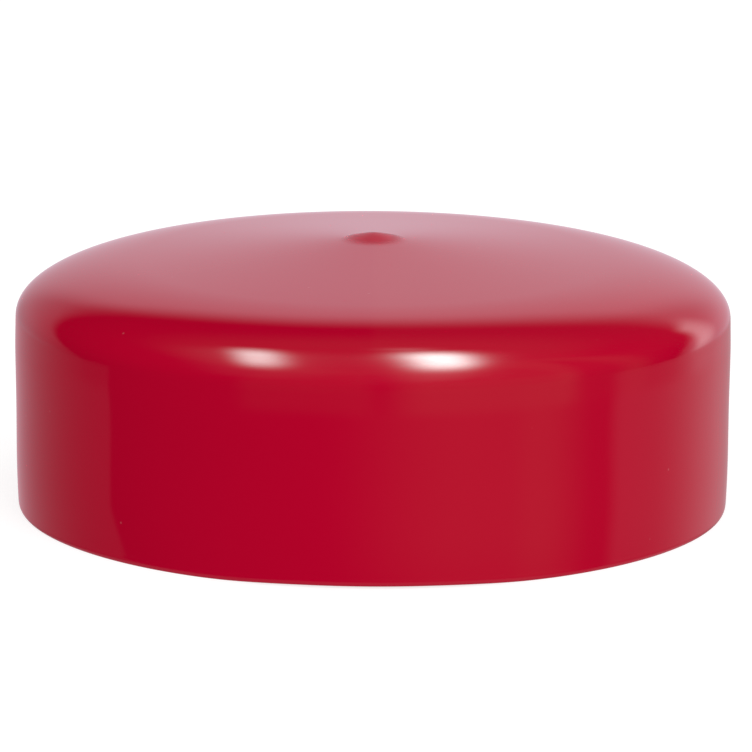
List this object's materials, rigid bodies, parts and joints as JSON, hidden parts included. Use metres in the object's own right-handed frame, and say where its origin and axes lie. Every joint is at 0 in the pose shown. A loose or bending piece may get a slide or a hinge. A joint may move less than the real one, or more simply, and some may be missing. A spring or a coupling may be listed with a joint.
{
  "type": "protective pipe end cap",
  "caption": "Round pull-on end cap moulded as a seamless vinyl skin, with a slightly conical closed end, rounded shoulder and open mouth, that covers the end of a pipe or flange stub.",
  "frame": {"origin": "centre of the mouth, on the plane of the rim that the cap stands on", "axes": "+Z along the cap's axis, from the open mouth to the closed end; X and Y are any two directions across the mouth, as the cap is round"},
  "size_m": [0.106, 0.106, 0.0406],
  "materials": {
    "vinyl": "glossy dipped red flexible PVC"
  },
  "bodies": {
    "root": {"cap": "vinyl"}
  },
  "joints": []
}
